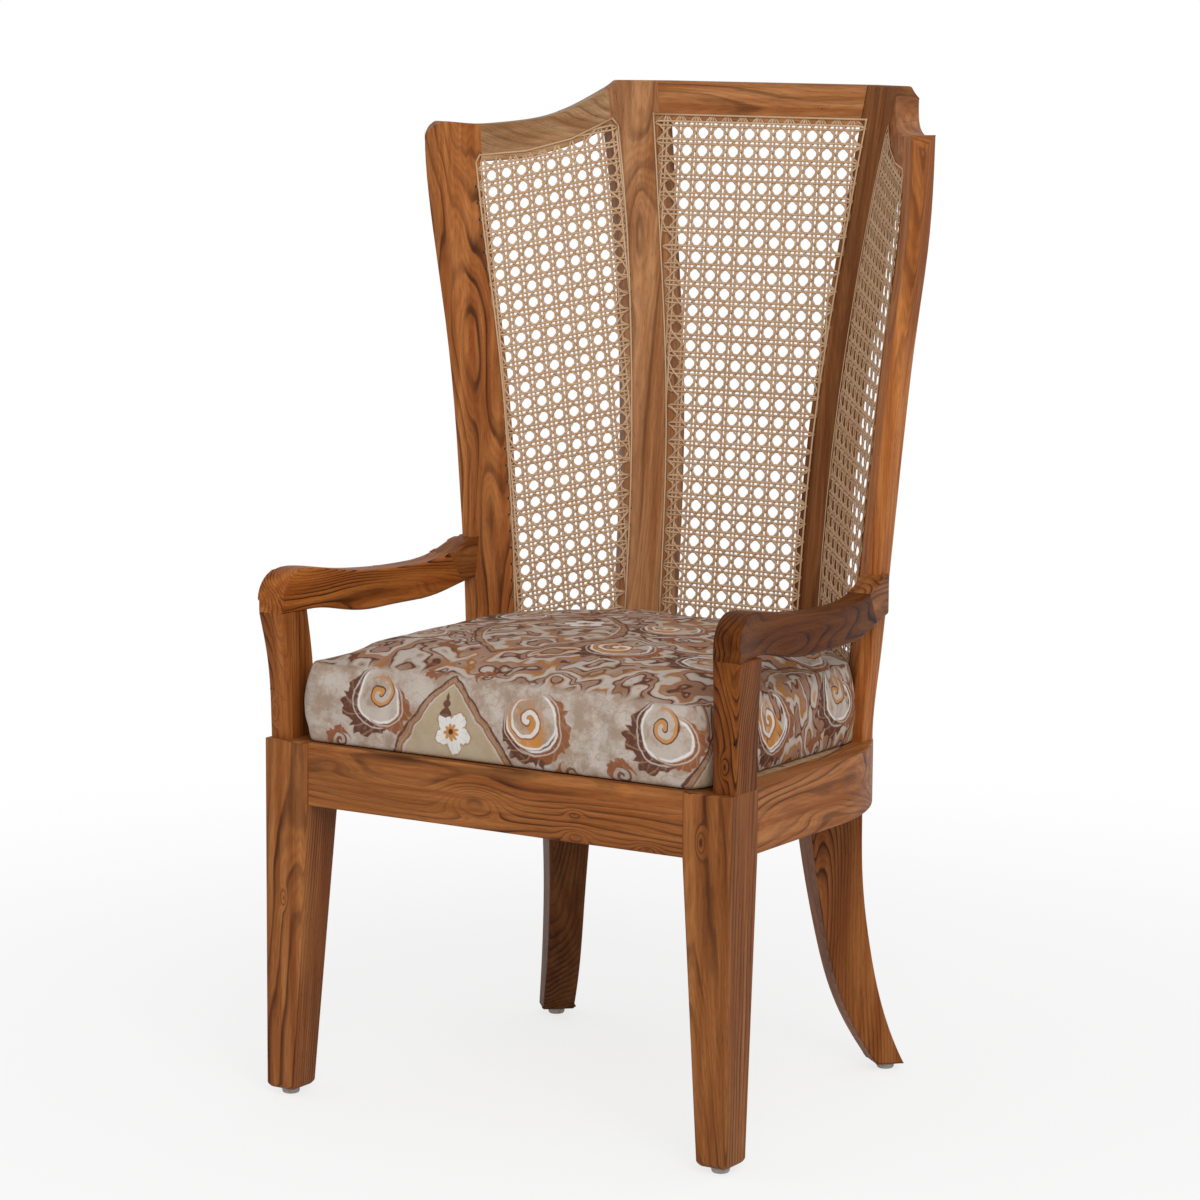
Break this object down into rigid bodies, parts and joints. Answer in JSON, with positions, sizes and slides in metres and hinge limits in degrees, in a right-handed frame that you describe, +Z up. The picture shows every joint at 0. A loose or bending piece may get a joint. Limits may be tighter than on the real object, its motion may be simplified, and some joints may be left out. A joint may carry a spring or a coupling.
{
  "type": "wing armchair",
  "caption": "High-backed wooden wing armchair with woven cane back and wing panels, open curved arms, swept rear legs and a loose box cushion.",
  "frame": {"origin": "middle of the bounding box's base, on the floor under the seat", "axes": "+X to the right as seen by someone who faces the front of the chair, +Y towards the back, +Z up"},
  "size_m": [0.6306, 0.566, 1.078],
  "materials": {
    "teak": "satin varnish",
    "hidden_wood": "plain sawn",
    "plywood": "plain",
    "dowel_wood": "plain",
    "cane": "natural woven cane",
    "binder_cane": "natural cane strip",
    "cover_fabric": "printed cotton",
    "core_foam": "foam",
    "glide_plastic": "moulded",
    "steel": "plain"
  },
  "bodies": {
    "frame": {"arm_dowels": "dowel_wood", "arm_heel_left": "teak", "arm_heel_right": "teak", "arm_left": "teak", "arm_right": "teak", "arm_stump_left": "teak", "arm_stump_right": "teak", "back_lower_rail": "teak", "binder_centre": "binder_cane", "binder_wing_left": "binder_cane", "binder_wing_right": "binder_cane", "board_screws": "steel", "cane_centre": "cane", "cane_wing_left": "cane", "cane_wing_right": "cane", "corner_block_left": "hidden_wood", "corner_block_right": "hidden_wood", "corner_post_left": "teak", "corner_post_right": "teak", "front_cleat": "hidden_wood", "front_glide_left": "glide_plastic", "front_glide_right": "glide_plastic", "front_leg_left": "teak", "front_leg_right": "teak", "front_rail": "teak", "glide_nails": "steel", "leg_screws": "steel", "rear_cleat": "hidden_wood", "rear_glide_left": "glide_plastic", "rear_glide_right": "glide_plastic", "rear_leg_left": "teak", "rear_leg_right": "teak", "rear_quarter_rail_left": "teak", "rear_quarter_rail_right": "teak", "rear_rail": "teak", "seat_board": "plywood", "side_cleat_left": "hidden_wood", "side_cleat_right": "hidden_wood", "side_rail_left": "teak", "side_rail_right": "teak", "top_rail": "teak", "wing_lower_rail_left": "teak", "wing_lower_rail_right": "teak", "wing_post_left": "teak", "wing_post_right": "teak", "wing_top_rail_left": "teak", "wing_top_rail_right": "teak"},
    "cushion": {"cushion_cover": "cover_fabric", "cushion_core": "core_foam"}
  },
  "joints": [
    {"name": "cushion_lift", "type": "slide", "parent": "frame", "child": "cushion", "axis": [0, 0, 1], "range_m": [0, 0.3]}
  ]
}
